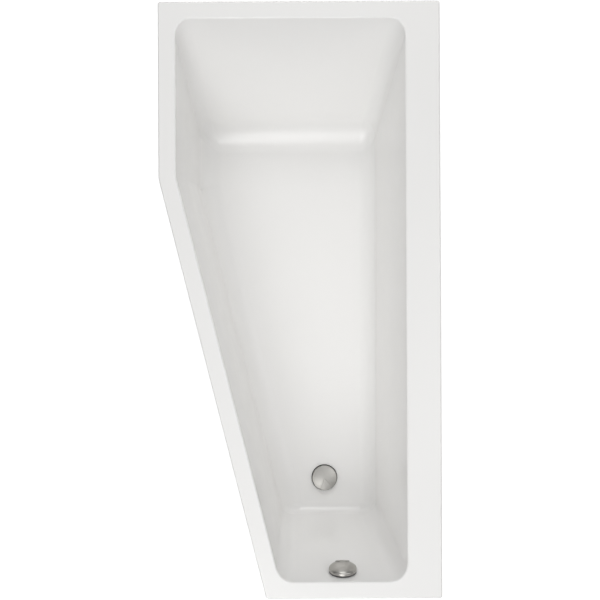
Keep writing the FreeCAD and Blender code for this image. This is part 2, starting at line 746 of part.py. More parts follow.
def overflow_parts():
    back = -tub_wall - overflow_gasket - cup_depth
    front = -tub_wall - overflow_gasket
    bore = overflow_hole_radius
    gasket = ring(cup_radius, bore, front, -tub_wall)
    save("overflow_gasket", on_overflow(gasket))
    screw_turns = [math.radians(angle) for angle in spoke_angles[:2]]
    screw_places = [Vector(math.cos(turn), math.sin(turn), 0) * screw_circle_radius for turn in screw_turns]
    boss_high = -spoke_height - fit
    screw_low = back + cup_wall + screw_tip_gap
    cup = on_overflow(cylinder(cup_radius, back, front))
    spout = cylinder(hose_crest_radius, hose_top.z, spout_root.z + spout_overlap, hose_top)
    gland_y = -drum_radius()
    gland_start = in_overflow(0, gland_y, drum_middle())
    gland = Part.makeCylinder(gland_radius, cup_radius + gland_length, gland_start, Vector(-1, 0, 0))
    body = cup.fuse(spout).fuse(gland)
    hollow = on_overflow(cylinder(cup_radius - cup_wall, back + cup_wall, front - cup_wall))
    mouth = on_overflow(cylinder(bore, front - cup_wall, front))
    spout_bore = cylinder(hose_bore_radius, hose_top.z, spout_root.z + spout_overlap, hose_top)
    gland_bore = Part.makeCylinder(core_radius + fit, cup_radius + gland_length, gland_start, Vector(-1, 0, 0))
    socket_start = gland_start - Vector(cup_radius + gland_length - sheath_seat, 0, 0)
    socket = Part.makeCylinder(sheath_radius + fit, sheath_seat, socket_start, Vector(-1, 0, 0))
    body = body.cut(hollow).cut(mouth).cut(spout_bore).cut(gland_bore).cut(socket)
    bosses = [on_overflow(cylinder(boss_radius, back, boss_high, place)) for place in screw_places]
    body = body.fuse(bosses)
    spindle_hole = on_overflow(cylinder(spindle_radius + fit, back + cup_wall / 2, back + cup_wall))
    body = body.cut(spindle_hole)
    tapped = [cylinder(screw_radius + fit, screw_low - fit, boss_high, place) for place in screw_places]
    body = body.cut(on_overflow(Part.makeCompound(tapped)))
    save("overflow_body", body)
    tube_radius = bore - seat_fit
    flange = cylinder(overflow_flange_radius, 0.0, overflow_flange_plate)
    flange = flange.makeFillet(overflow_flange_edge, loop_at(flange, overflow_flange_plate))
    flange = flange.fuse(cylinder(tube_radius, -overflow_tube_length, 0.0))
    flange = flange.cut(cylinder(tube_radius - overflow_tube_wall, -overflow_tube_length, overflow_flange_plate))
    hub = cylinder(spoke_hub_radius, -overflow_tube_length, overflow_flange_plate)
    for angle in spoke_angles:
        reach = tube_radius - overflow_tube_wall / 2
        spoke = box(Vector(0, -spoke_width / 2, -spoke_height), Vector(reach, spoke_width / 2, 0))
        spoke.rotate(Vector(0, 0, 0), Vector(0, 0, 1), angle)
        hub = hub.fuse(spoke)
    holes = [cylinder(spindle_radius + fit, -overflow_tube_length, overflow_flange_plate)]
    holes += [cylinder(screw_radius + fit, -spoke_height, 0.0, place) for place in screw_places]
    flange = flange.fuse(hub).cut(Part.makeCompound(holes))
    save("overflow_flange", on_overflow(flange.removeSplitter()))
    screws = []
    for place in screw_places:
        head = cylinder(screw_head_radius, 0.0, screw_head, place)
        head = head.makeFillet(screw_head_edge, loop_at(head, screw_head))
        screws.append(on_overflow(head.fuse(cylinder(screw_radius, screw_low, 0.0, place))))
    save("overflow_screws", *screws)


def drum_radius():
    return plug_lift / math.radians(knob_turn)


def drum_middle():
    return -tub_wall - overflow_gasket - cup_depth + cup_wall + seat_fit + drum_cheek + drum_width / 2


def knob():
    back = -tub_wall - overflow_gasket - cup_depth
    hub_low = overflow_flange_plate + seat_fit
    face = knob_gap + knob_edge
    hub_high = face + knob_dome / 2
    spindle_top = hub_high - knob_wall
    shaft = cylinder(spindle_radius, back + cup_wall / 2 + fit, spindle_top)
    half = drum_width / 2
    drum = cylinder(drum_radius(), drum_middle() - half, drum_middle() + half)
    for low in (drum_middle() - half - drum_cheek, drum_middle() + half):
        drum = drum.fuse(cylinder(drum_flange_radius, low, low + drum_cheek))
    save("knob_spindle", on_overflow(shaft.fuse(drum).removeSplitter()))
    shell = dome(knob_radius, knob_edge, knob_dome, knob_gap)
    shell = shell.makeFillet(knob_edge_radius, loop_at(shell, face))
    shell = shell.makeFillet(knob_back_radius, loop_at(shell, knob_gap))
    raised = dome(knob_radius, knob_edge + knob_tab, knob_dome - knob_tab, knob_gap)
    shell = with_tab(shell, raised, knob_radius, -90.0, face - knob_edge_radius, face + knob_dome)
    shell = shell.cut(dome(knob_radius - knob_wall, knob_edge, knob_dome / 2, knob_gap))
    shell = shell.fuse(cylinder(knob_hub_radius, hub_low, hub_high))
    shell = shell.cut(cylinder(spindle_radius + fit, hub_low, spindle_top + fit))
    grub_height = (hub_low + spindle_top) / 2
    inner = Vector(0, -spindle_radius - fit, grub_height)
    grub_length = knob_hub_radius - spindle_radius - fit
    down = Vector(0, -1, 0)
    shell = shell.cut(Part.makeCylinder(grub_radius + fit, grub_length, inner, down))
    save("overflow_knob", on_overflow(shell.removeSplitter()))
    save("knob_screw", on_overflow(Part.makeCylinder(grub_radius, grub_length, inner, down)))


def hose():
    corner = Vector(hose_top.x, hose_top.y, hose_level)
    path = route([hose_top, corner, hose_end], [hose_bend_radius])
    plain = 2 * hose_crest_radius
    pitch = (path.Length - 2 * plain) / hose_ribs
    stations = [(0.0, hose_crest_radius), (plain, hose_crest_radius)]
    for i in range(hose_ribs):
        start = plain + pitch * i
        groove_start, groove_end = start + rib_slope, start + rib_slope + rib_groove
        stations += [(groove_start, hose_root_radius), (groove_end, hose_root_radius)]
        stations += [(groove_end + rib_slope, hose_crest_radius), (start + pitch, hose_crest_radius)]
    stations.append((path.Length, hose_crest_radius))
    across = hose_direction.cross(Vector(0, 0, 1))
    circles = []
    for distance, radius in stations:
        centre, along = along_path(path, distance)
        circle = Part.Wire(Part.Circle(Vector(0, 0, 0), Vector(0, 0, 1), radius).toShape())
        circles.append(placed(circle, frame_at(centre, along, across)))
    outside = Part.makeLoft(circles, True, True)
    tube = outside.cut(swept(path, hose_bore_radius))
    print("hose bend radius", hose_bend_radius, "length", round(path.Length, 1))
    save("overflow_hose", tube)
    half = hose_nut_height / 2
    nut = grip_ring(hose_nut_radius, hose_crest_radius + thread_fit, -half, half)
    joint_frames = [Placement(hose_top, Rotation()), frame_at(hose_end, hose_direction, across)]
    save("hose_nuts", *[placed(nut, frame) for frame in joint_frames])


def cable():
    gland = in_overflow(0, -drum_radius(), drum_middle())
    start = gland - Vector(cup_radius + gland_length - sheath_seat, 0, 0)
    end = core_line(body_radius + port_length - sheath_seat)
    swing_x = end.x - cable_swing + port_length
    points = [
        start,
        Vector(swing_x, start.y, start.z),
        Vector(swing_x, start.y, end.z),
        Vector(swing_x, end.y, end.z),
        end,
    ]
    radii = [cable_top_bend, cable_low_bend, cable_port_bend]
    path = route(points, radii)
    sheath = pipe(path, sheath_radius, sheath_bore_radius)
    section = math.pi * (sheath_radius ** 2 - sheath_bore_radius ** 2)
    print("cable radii", radii, "length", round(path.Length, 1), "volume over section",
          round(sheath.Volume / section, 1))
    save("cable_sheath", sheath)


os.makedirs("parts", exist_ok=True)
tub_pieces()
board_and_rails()
legs()
waste_flange()
waste_body()
lifter()
plug()
trap()
overflow_parts()
knob()
hose()
cable()
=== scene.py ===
import json
import math

import bmesh
import bpy
from mathutils import Matrix, Vector


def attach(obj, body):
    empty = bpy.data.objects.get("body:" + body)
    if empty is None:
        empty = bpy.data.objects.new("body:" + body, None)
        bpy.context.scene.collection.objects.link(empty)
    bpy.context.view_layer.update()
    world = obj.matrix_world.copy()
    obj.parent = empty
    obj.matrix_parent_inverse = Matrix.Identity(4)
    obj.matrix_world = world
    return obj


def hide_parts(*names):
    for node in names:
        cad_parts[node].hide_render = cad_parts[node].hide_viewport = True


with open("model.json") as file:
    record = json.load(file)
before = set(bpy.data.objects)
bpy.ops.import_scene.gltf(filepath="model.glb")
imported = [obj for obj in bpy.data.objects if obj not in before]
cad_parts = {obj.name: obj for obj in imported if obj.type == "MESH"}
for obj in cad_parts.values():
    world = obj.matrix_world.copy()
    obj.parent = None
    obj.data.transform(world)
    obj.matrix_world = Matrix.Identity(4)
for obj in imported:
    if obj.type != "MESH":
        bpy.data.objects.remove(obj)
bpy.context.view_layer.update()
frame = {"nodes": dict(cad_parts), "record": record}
nodes = frame["nodes"]
scene = bpy.context.scene
scene.view_settings.view_transform = "Standard"
print("frame loaded,", len(nodes), "CAD nodes")


# camera straight above the bath, +Y up in the picture
view = {
    "place": (0.0, 0.0, 3.8),
    "lens": 71.81,
    "roll": -0.27,  # degrees
}


def addCamera():
    lens = bpy.data.cameras.new("photoCamera")
    lens.sensor_width = 36.0
    lens.lens = view["lens"]
    camera = bpy.data.objects.new("photoCamera", lens)
    camera.location = view["place"]
    camera.rotation_euler.z = math.radians(view["roll"])
    scene.collection.objects.link(camera)
    scene.camera = camera


addCamera()
print("camera set")


# small helpers for shader trees and meshes
def addNode(tree, kind, values=None, **settings):
    made = tree.nodes.new(kind)
    for name, value in settings.items():
        setattr(made, name, value)
    for name, value in (values or {}).items():
        made.inputs[name].default_value = value
    return made


def newFinish(name, **values):
    material = bpy.data.materials.new(name)
    material.use_nodes = True
    tree = material.node_tree
    shader = tree.nodes["Principled BSDF"]
    for socket, value in values.items():
        shader.inputs[socket.replace("_", " ")].default_value = value
    return material, tree, shader


def objectSpace(tree, stretch=(1, 1, 1), turn=(0, 0, 0)):
    place = addNode(tree, "ShaderNodeTexCoord")
    mapping = addNode(tree, "ShaderNodeMapping")
    mapping.inputs["Scale"].default_value = stretch
    mapping.inputs["Rotation"].default_value = [math.radians(angle) for angle in turn]
    tree.links.new(place.outputs["Object"], mapping.inputs["Vector"])
    return mapping.outputs["Vector"]


def noise(tree, vector, scale, detail=4.0, roughness=0.55):
    made = addNode(tree, "ShaderNodeTexNoise", {"Scale": scale, "Detail": detail, "Roughness": roughness})
    tree.links.new(vector, made.inputs["Vector"])
    return made.outputs["Fac"]


def cells(tree, vector, scale):
    made = addNode(tree, "ShaderNodeTexVoronoi", {"Scale": scale})
    tree.links.new(vector, made.inputs["Vector"])
    tone = addNode(tree, "ShaderNodeRGBToBW")
    tree.links.new(made.outputs["Color"], tone.inputs["Color"])
    return tone.outputs["Val"]


def shades(tree, value, stops):
    ramp = addNode(tree, "ShaderNodeValToRGB")
    bar = ramp.color_ramp.elements
    while len(bar) < len(stops):
        bar.new(0.5)
    for mark, (place, colour) in zip(bar, stops):
        mark.position = place
        mark.color = (*colour, 1.0)
    tree.links.new(value, ramp.inputs["Fac"])
    return ramp.outputs["Color"]


def spread(tree, value, low, high):
    made = addNode(tree, "ShaderNodeMapRange", {"To Min": low, "To Max": high})
    tree.links.new(value, made.inputs["Value"])
    return made.outputs["Result"]


def tint(tree, shader, value, stops):
    tree.links.new(shades(tree, value, stops), shader.inputs["Base Color"])


def polish(tree, shader, value, gloss):
    tree.links.new(spread(tree, value, *gloss), shader.inputs["Roughness"])


def relief(tree, shader, height, depth, strength=1.0):
    bump = addNode(tree, "ShaderNodeBump", {"Strength": strength, "Distance": depth})
    tree.links.new(height, bump.inputs["Height"])
    tree.links.new(bump.outputs["Normal"], shader.inputs["Normal"])


# white acrylic, glossy with the faint ripple of a vacuum-formed sheet
acrylic = {
    "light": (0.925, 0.92, 0.908),
    "shade": (0.918, 0.912, 0.899),
    "cloud": 3.0,
    "gloss": (0.16, 0.24),
    "glossCloud": 14.0,
    "ripple": 0.00002,
    "rippleScale": 260.0,
}


def makeAcrylic():
    material, tree, shader = newFinish("whiteAcrylic", IOR=1.49)
    space = objectSpace(tree)
    stops = [(0.3, acrylic["shade"]), (0.7, acrylic["light"])]
    tint(tree, shader, noise(tree, space, acrylic["cloud"]), stops)
    polish(tree, shader, noise(tree, space, acrylic["glossCloud"]), acrylic["gloss"])
    relief(tree, shader, noise(tree, space, acrylic["rippleScale"], 2.0), acrylic["ripple"], 0.15)
    return material


# sprayed resin with chopped strands lying every way
glassFibre = {
    "resin": (0.62, 0.6, 0.5),
    "strand": (0.8, 0.78, 0.7),
    "strandTurns": (18, 77, 131),  # degrees
    "strandStretch": (1.0, 9.0, 4.0),
    "strandScale": 38.0,
    "relief": 0.0008,
}


def makeGlassFibre():
    material, tree, shader = newFinish("glassFibreResin", Roughness=0.55, IOR=1.5)
    heights = None
    for turn in glassFibre["strandTurns"]:
        space = objectSpace(tree, glassFibre["strandStretch"], (turn / 2, turn / 3, turn))
        strand = noise(tree, space, glassFibre["strandScale"], 3.0)
        if heights is None:
            heights = strand
            continue
        blend = addNode(tree, "ShaderNodeMath", operation="MAXIMUM")
        tree.links.new(heights, blend.inputs[0])
        tree.links.new(strand, blend.inputs[1])
        heights = blend.outputs["Value"]
    tint(tree, shader, heights, [(0.45, glassFibre["resin"]), (0.72, glassFibre["strand"])])
    relief(tree, shader, heights, glassFibre["relief"], 0.8)
    return material


# pressed wood chips
chipboard = {
    "dark": (0.3, 0.19, 0.1),
    "middle": (0.52, 0.37, 0.22),
    "pale": (0.66, 0.51, 0.34),
    "chips": 160.0,
    "chipStretch": (1.0, 0.45, 1.6),
    "chipTurn": 24.0,  # degrees
    "relief": 0.0004,
}


def makeChipboard():
    material, tree, shader = newFinish("rawChipboard", Roughness=0.8)
    space = objectSpace(tree, chipboard["chipStretch"], (0, 0, chipboard["chipTurn"]))
    chips = cells(tree, space, chipboard["chips"])
    stops = [(0.15, chipboard["dark"]), (0.5, chipboard["middle"]), (0.85, chipboard["pale"])]
    tint(tree, shader, chips, stops)
    relief(tree, shader, chips, chipboard["relief"], 0.5)
    return material


# metals: a base tone broken up by cells or brushing, and a roughness that follows it
metals = {
    "galvanisedSheet": {
        "dark": (0.36, 0.38, 0.4),
        "pale": (0.6, 0.62, 0.64),
        "gloss": (0.32, 0.5),
        "flakes": 55.0,
    },
    "zincPlate": {
        "dark": (0.46, 0.47, 0.5),
        "pale": (0.66, 0.66, 0.64),
        "gloss": (0.22, 0.36),
        "flakes": 240.0,
    },
    "satinSteel": {
        "dark": (0.42, 0.42, 0.42),
        "pale": (0.6, 0.6, 0.59),
        "gloss": (0.25, 0.4),
        "brush": (4.0, 4.0, 90.0),
    },
    "turnedBrass": {
        "dark": (0.52, 0.36, 0.13),
        "pale": (0.72, 0.54, 0.25),
        "gloss": (0.2, 0.34),
        "brush": (4.0, 4.0, 120.0),
    },
}


def makeMetal(name):
    look = metals[name]
    material, tree, shader = newFinish(name, Metallic=1.0)
    if "flakes" in look:
        tone = cells(tree, objectSpace(tree), look["flakes"])
    else:
        tone = noise(tree, objectSpace(tree, look["brush"]), 12.0)
    tint(tree, shader, tone, [(0.25, look["dark"]), (0.75, look["pale"])])
    polish(tree, shader, tone, look["gloss"])
    relief(tree, shader, tone, 0.00005, 0.2)
    return material


# satin chrome of the cap and knob, with faint wiping marks
chrome = {
    "light": (0.51, 0.5, 0.475),
    "shade": (0.49, 0.48, 0.455),
    "gloss": (0.3, 0.34),
    "marks": 90.0,
    "markStretch": (1.0, 3.0, 1.0),
    "markTurn": 35.0,  # degrees
}


def makeChrome():
    material, tree, shader = newFinish("satinChrome", Metallic=1.0)
    space = objectSpace(tree, chrome["markStretch"], (0, 0, chrome["markTurn"]))
    marks = noise(tree, space, chrome["marks"], 5.0)
    tint(tree, shader, marks, [(0.3, chrome["shade"]), (0.7, chrome["light"])])
    polish(tree, shader, marks, chrome["gloss"])
    return material


# plastics and rubber: moulded grain and a slightly uneven colour
plastics = {
    "mouldedWhite": {
        "dark": (0.72, 0.72, 0.7),
        "pale": (0.8, 0.8, 0.78),
        "gloss": (0.38, 0.52),
        "grain": 700.0,
        "depth": 0.00008,
    },
    "padBlack": {
        "dark": (0.028, 0.028, 0.029),
        "pale": (0.045, 0.045, 0.046),
        "gloss": (0.45, 0.62),
        "grain": 900.0,
        "depth": 0.00015,
    },
    "sealRubber": {
        "dark": (0.018, 0.018, 0.018),
        "pale": (0.032, 0.031, 0.03),
        "gloss": (0.6, 0.8),
        "grain": 1200.0,
        "depth": 0.0001,
    },
    "hoseGrey": {
        "dark": (0.4, 0.41, 0.42),
        "pale": (0.5, 0.51, 0.52),
        "gloss": (0.4, 0.55),
        "grain": 500.0,
        "depth": 0.00008,
    },
    "cableBlack": {
        "dark": (0.025, 0.025, 0.027),
        "pale": (0.04, 0.04, 0.042),
        "gloss": (0.35, 0.5),
        "grain": 600.0,
        "depth": 0.00006,
    },
}


def makePlastic(name):
    look = plastics[name]
    material, tree, shader = newFinish(name, IOR=1.5)
    space = objectSpace(tree)
    tint(tree, shader, noise(tree, space, 22.0), [(0.3, look["dark"]), (0.7, look["pale"])])
    polish(tree, shader, noise(tree, space, 60.0), look["gloss"])
    relief(tree, shader, noise(tree, space, look["grain"], 3.0), look["depth"], 0.5)
    return material


finishes = {
    "acrylic": makeAcrylic(),
    "glass_fibre": makeGlassFibre(),
    "chipboard": makeChipboard(),
    "galvanised_steel": makeMetal("galvanisedSheet"),
    "zinc_plated_steel": makeMetal("zincPlate"),
    "stainless_steel": makeMetal("satinSteel"),
    "brass": makeMetal("turnedBrass"),
    "chrome": makeChrome(),
    "white_plastic": makePlastic("mouldedWhite"),
    "black_plastic": makePlastic("padBlack"),
    "black_rubber": makePlastic("sealRubber"),
    "grey_plastic": makePlastic("hoseGrey"),
    "cable_plastic": makePlastic("cableBlack"),
}
for part in frame["record"]["subparts"]:
    mesh = nodes[part["node"]].data
    mesh.materials.clear()
    mesh.materials.append(finishes[part["material_slot"]])
print("finishes made,", len(finishes))


def newPiece(name, bm, finish):
    mesh = bpy.data.meshes.new(name)
    bm.to_mesh(mesh)
    bm.free()
    mesh.materials.append(finish)
    piece = bpy.data.objects.new(name, mesh)
    scene.collection.objects.link(piece)
    return piece


def applyModifiers(piece):
    bpy.context.view_layer.update()
    whole = piece.evaluated_get(bpy.context.evaluated_depsgraph_get())
    mesh = bpy.data.meshes.new_from_object(whole)
    piece.modifiers.clear()
    old = piece.data
    piece.data = mesh
    bpy.data.meshes.remove(old)


def smoothShade(piece, angle=35.0):
    for face in piece.data.polygons:
        face.use_smooth = True
    piece.data.set_sharp_from_angle(angle=math.radians(angle))
    weighted = piece.modifiers.new("weighted", "WEIGHTED_NORMAL")
    weighted.keep_sharp = True
    weighted.weight = 90


# centres of the drain's seat and of the overflow on the foot wall
drainPlace = (0.0715, -0.538, 0.17)
overflowPlace = (0.113, -0.73973, 0.543)

# the acrylic tub: corners of the basin's mouth and floor and of the rim, in order head right, head left,
# bend, foot left, foot right; coves follow head, side, taper, foot, wall
tub = {
    "rimHeight": 0.6,
    "mouth": [
        (0.2849, 0.755),
        (-0.3308, 0.755),
        (-0.3308, 0.33129),
        (-0.05718, -0.755),
        (0.2849, -0.755),
    ],
    "floor": [
        (0.22125, 0.50709, 0.17913),
        (-0.29398, 0.50709, 0.17913),
        (-0.29385, 0.33587, 0.17764),
        (-0.04738, -0.63955, 0.16912),
        (0.21974, -0.63955, 0.16912),
    ],
    "rim": [(0.3775, 0.8), (-0.3775, 0.8), (-0.3775, 0.3255), (-0.094, -0.8), (0.3775, -0.8)],
    "coves": [0.066, 0.058, 0.058, 0.026, 0.044],
    "corners": [0.04, 0.04, 0.006, 0.037, 0.048],
    "segments": 16,
    "rimCorner": 0.007,
    "lip": 0.04,
    "mouthEdge": 0.0044,
    "rimEdge": 0.0045,
    "edgeSegments": (6, 5),  # mouth, rim
    "sheet": 0.004,
    "overshoot": 0.1,  # share of a wall that stands above the rim until it is cut level
    "seatRadius": 0.0398,
    "seatDepth": 0.0025,
    "drainRadius": 0.026,
    "drainDepth": 0.002,
    "overflowRadius": 0.027,
    "overflowDepth": 0.001,
    "holeSegments": 72,
}


def extrudeLoop(bm, loop, move=(0, 0, 0)):
    made = bmesh.ops.extrude_edge_only(bm, edges=loop)["geom"]
    verts = [item for item in made if isinstance(item, bmesh.types.BMVert)]
    bmesh.ops.translate(bm, verts=verts, vec=move)
    loop = [item for item in made if isinstance(item, bmesh.types.BMEdge) and item.is_boundary]
    return loop, verts


def cutHole(bm, face, centre, radius):
    border = face.edges[:]
    normal = face.normal.copy()
    bmesh.ops.delete(bm, geom=[face], context="FACES_ONLY")
    place = Matrix.Translation(centre) @ normal.to_track_quat("Z", "Y").to_matrix().to_4x4()
    circle = bmesh.ops.create_circle(bm, radius=radius, segments=tub["holeSegments"], matrix=place)["verts"]
    ring = list({edge for vert in circle for edge in vert.link_edges})
    bmesh.ops.triangle_fill(bm, use_beauty=True, edges=border + ring, normal=normal)
    return ring, normal


def buildBasin():
    bm = bmesh.new()
    weights = bm.edges.layers.float.new("bevel_weight_edge")
    count = len(tub["mouth"])
    top = [bm.verts.new((*place, tub["rimHeight"])) for place in tub["mouth"]]
    loop = [bm.edges.new((top[i], top[(i + 1) % count])) for i in range(count)]
    bmesh.ops.extrude_edge_only(bm, edges=loop)
    low = []
    posts = []
    for vert, place in zip(top, tub["floor"]):
        post = next(edge for edge in vert.link_edges if edge not in loop)
        post.other_vert(vert).co = place
        posts.append(post)
        low.append(post.other_vert(vert))
        vert.co += (vert.co - Vector(place)) * tub["overshoot"]
    bm.faces.new(low)
    widest = max(tub["coves"] + tub["corners"])
    for i in range(count):
        foot = bm.edges.get((low[i], low[(i + 1) % count]))
        foot[weights] = tub["coves"][i] / widest
        posts[i][weights] = tub["corners"][i] / widest
    bmesh.ops.recalc_face_normals(bm, faces=bm.faces[:])
    basin = newPiece("acrylicTub", bm, finishes["acrylic"])
    rounding = basin.modifiers.new("coves", "BEVEL")
    rounding.limit_method = "WEIGHT"
    rounding.offset_type = "OFFSET"
    rounding.width = widest
    rounding.segments = tub["segments"]
    rounding.profile = 0.5
    rounding.use_clamp_overlap = False
    applyModifiers(basin)
    return basin


def buildTub():
    piece = buildBasin()
    bm = bmesh.new()
    bm.from_mesh(piece.data)
    cut = Vector((0, 0, tub["rimHeight"]))
    whole = bm.verts[:] + bm.edges[:] + bm.faces[:]
    bmesh.ops.bisect_plane(bm, geom=whole, plane_co=cut, plane_no=(0, 0, 1), clear_outer=True)
    mouth = [edge for edge in bm.edges if edge.is_boundary]
    outline = bm.faces.new([bm.verts.new((*place, tub["rimHeight"])) for place in tub["rim"]])
    bmesh.ops.bevel(bm, geom=outline.verts[:], offset=tub["rimCorner"], segments=tub["segments"],
                    profile=0.5, affect="VERTICES", material=-1)
    old = set(mouth)
    outer = [edge for edge in bm.edges if edge.is_boundary and edge not in old]
    print("mouth edges", len(mouth), "outline edges", len(outer))
    bmesh.ops.delete(bm, geom=[outer[0].link_faces[0]], context="FACES_ONLY")
    bmesh.ops.bridge_loops(bm, edges=mouth + outer)
    extrudeLoop(bm, outer, (0, 0, -tub["lip"]))
    bmesh.ops.recalc_face_normals(bm, faces=bm.faces[:])
    level = [face for face in bm.faces if abs(face.normal.z) > 0.9]
    floor = max(level, key=lambda face: face.calc_area())
    if floor.normal.z < 0:
        bmesh.ops.reverse_faces(bm, faces=bm.faces[:])
    drain = Vector(drainPlace)
    ring, normal = cutHole(bm, floor, drain, tub["seatRadius"])
    seat, verts = extrudeLoop(bm, ring, normal * -tub["seatDepth"])
    hole, verts = extrudeLoop(bm, seat)
    share = tub["drainRadius"] / tub["seatRadius"]
    bmesh.ops.scale(bm, verts=verts, vec=(share, share, 1), space=Matrix.Translation(-drain))
    extrudeLoop(bm, hole, (0, 0, -tub["drainDepth"]))
    overflow = Vector(overflowPlace)
    facing = [face for face in bm.faces if face.normal.y > 0.9]
    footWall = min(facing, key=lambda face: (face.calc_center_median() - overflow).length)
    ring, normal = cutHole(bm, footWall, overflow, tub["overflowRadius"])
    extrudeLoop(bm, ring, normal * -tub["overflowDepth"])
    edges = zip((mouth, outer), ("mouthEdge", "rimEdge"), tub["edgeSegments"])
    for loop, size, segments in edges:
        bmesh.ops.bevel(bm, geom=loop, offset=tub[size], segments=segments, profile=0.5,
                        affect="EDGES", material=-1)
    bm.to_mesh(piece.data)
    bm.free()
    sheet = piece.modifiers.new("sheet", "SOLIDIFY")
    sheet.thickness = tub["sheet"]
    sheet.offset = -1.0
    sheet.use_even_offset = True
    applyModifiers(piece)
    smoothShade(piece)
    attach(piece, "tub")
    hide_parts("tub_shell")
    print("tub built,", len(piece.data.polygons), "faces")


buildTub()


# domed chrome fittings: each dome is open over one sector, where a flatter dome stands out as a grip
caps = {
    "drainCap": {
        "node": "plug_cap",
        "body": "plug",
        "centre": (*drainPlace[:2], 0.0),
        "across": (1, 0, 0),
        "axis": (0, 0, 1),
        "radius": 0.0368,
        "low": 0.1725,
        "crown": 0.186,
        "rise": 0.0034,
        "edge": 0.0016,
        "grip": 0.0008,
        "gripEdge": 0.0005,
        "turn": -80.0,  # degrees
        "wall": 0.006,
        "hollow": 0.002,
    },
    "overflowKnob": {
        "node": "overflow_knob",
        "body": "knob",
        "centre": overflowPlace,
        "across": (-1, 0, 0),
        "axis": (0, 0.965926, 0.258819),
        "radius": 0.0382,
        "low": 0.0054,
        "crown": 0.025,
        "rise": 0.012,
        "edge": 0.008,
        "grip": 0.0027,
        "gripEdge": 0.0006,
        "turn": -90.0,  # degrees
        "wall": 0.0035,
        "hollow": 0.009,
    },
}
sectors = {
    "gripAngle": 62.0,  # degrees
    "joint": 0.0006,
    "domeSteps": 120,
    "gripSteps": 26,
    "crownSteps": 16,
    "edgeSteps": 8,
}
# black ring filling the gap behind the knob: partly a gasket, partly painted shade standing in for the
# shadow in that gap
knobGasketAndShade = {
    "outer": 0.0376,
    "inner": 0.034,
    "low": 0.0024,
    "high": 0.0054,
    "steps": 96,
}


def capFrame(look):
    across, axis = Vector(look["across"]), Vector(look["axis"])
    turn = Matrix((across, axis.cross(across), axis)).transposed().to_4x4()
    return Matrix.Translation(look["centre"]) @ turn


def spinRound(bm, verts, centre, axis, angle, steps):
    made = bmesh.ops.spin(bm, geom=verts, cent=centre, axis=axis, angle=angle, steps=steps)["geom_last"]
    return [item for item in made if isinstance(item, bmesh.types.BMVert)]


def domeProfile(bm, look, radius, rise, edge):
    ball = (radius ** 2 + rise ** 2) / (2 * rise)
    middle = look["crown"] - ball
    lean = math.asin((radius - edge) / (ball - edge))
    crown = bm.verts.new((0, 0, look["crown"]))
    rim = spinRound(bm, [crown], (0, 0, middle), (0, 1, 0), lean, sectors["crownSteps"])
    bend = (radius - edge, 0, middle + (ball - edge) * math.cos(lean))
    side = spinRound(bm, rim, bend, (0, 1, 0), math.pi / 2 - lean, sectors["edgeSteps"])[0]
    inside, roof = radius - look["wall"], look["low"] + look["hollow"]
    places = [(radius, look["low"]), (inside, look["low"]), (inside, roof), (0, roof)]
    for across, height in places:
        corner = bm.verts.new((across, 0, height))
        bm.edges.new((side, corner))
        side = corner


def spunSector(look, radius, rise, edge, start, sweep, steps):
    bm = bmesh.new()
    domeProfile(bm, look, radius, rise, edge)
    turn = Matrix.Rotation(math.radians(start), 3, "Z")
    bmesh.ops.rotate(bm, verts=bm.verts[:], cent=(0, 0, 0), matrix=turn)
    profile = bm.verts[:] + bm.edges[:]
    bmesh.ops.spin(bm, geom=profile, cent=(0, 0, 0), axis=(0, 0, 1),
                   angle=math.radians(sweep), steps=steps)
    bmesh.ops.remove_doubles(bm, verts=bm.verts[:], dist=0.000001)
    bmesh.ops.holes_fill(bm, edges=[edge for edge in bm.edges if edge.is_boundary], sides=0)
    return bm


def joinParts(parts):
    bm = bmesh.new()
    for part in parts:
        mesh = bpy.data.meshes.new("part")
        part.to_mesh(mesh)
        part.free()
        bm.from_mesh(mesh)
        bpy.data.meshes.remove(mesh)
    return bm


def buildCap(name):
    look = caps[name]
    angle = sectors["gripAngle"]
    half = angle / 2
    dome = spunSector(look, look["radius"], look["rise"], look["edge"],
                      look["turn"] + half, 360 - angle, sectors["domeSteps"])
    shift = sectors["joint"] / math.sin(math.radians(half))  # leaves a fine line on both sides of the grip
    grip = spunSector(look, look["radius"] - shift, look["rise"] - look["grip"], look["gripEdge"],
                      look["turn"] - half, angle, sectors["gripSteps"])
    aside = Matrix.Rotation(math.radians(look["turn"]), 3, "Z") @ Vector((shift, 0, 0))
    bmesh.ops.translate(grip, verts=grip.verts[:], vec=aside)
    bm = joinParts([dome, grip])
    bmesh.ops.transform(bm, matrix=capFrame(look), verts=bm.verts[:])
    bmesh.ops.recalc_face_normals(bm, faces=bm.faces[:])
    piece = newPiece(name, bm, finishes["chrome"])
    smoothShade(piece, 30.0)
    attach(piece, look["body"])
    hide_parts(look["node"])
    print(name, "built,", len(piece.data.polygons), "faces")


def buildKnobGasketAndShade():
    bm = bmesh.new()
    corners = (("outer", "low"), ("outer", "high"), ("inner", "high"), ("inner", "low"))
    verts = [bm.verts.new((knobGasketAndShade[side], 0, knobGasketAndShade[level])) for side, level in corners]
    edges = [bm.edges.new((verts[i - 1], verts[i])) for i in range(4)]
    bmesh.ops.spin(bm, geom=verts + edges, cent=(0, 0, 0), axis=(0, 0, 1), angle=2 * math.pi,
                   steps=knobGasketAndShade["steps"], use_merge=True)
    bmesh.ops.transform(bm, matrix=capFrame(caps["overflowKnob"]), verts=bm.verts[:])
    bmesh.ops.recalc_face_normals(bm, faces=bm.faces[:])
    # black plastic where the gap behind the knob lies in shadow: a gasket and painted shade
    piece = newPiece("knobGasketAndShade", bm, finishes["black_plastic"])
    smoothShade(piece)
    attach(piece, "knob")
    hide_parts("overflow_knob")
    print("knob ring built")


for name in caps:
    buildCap(name)
buildKnobGasketAndShade()


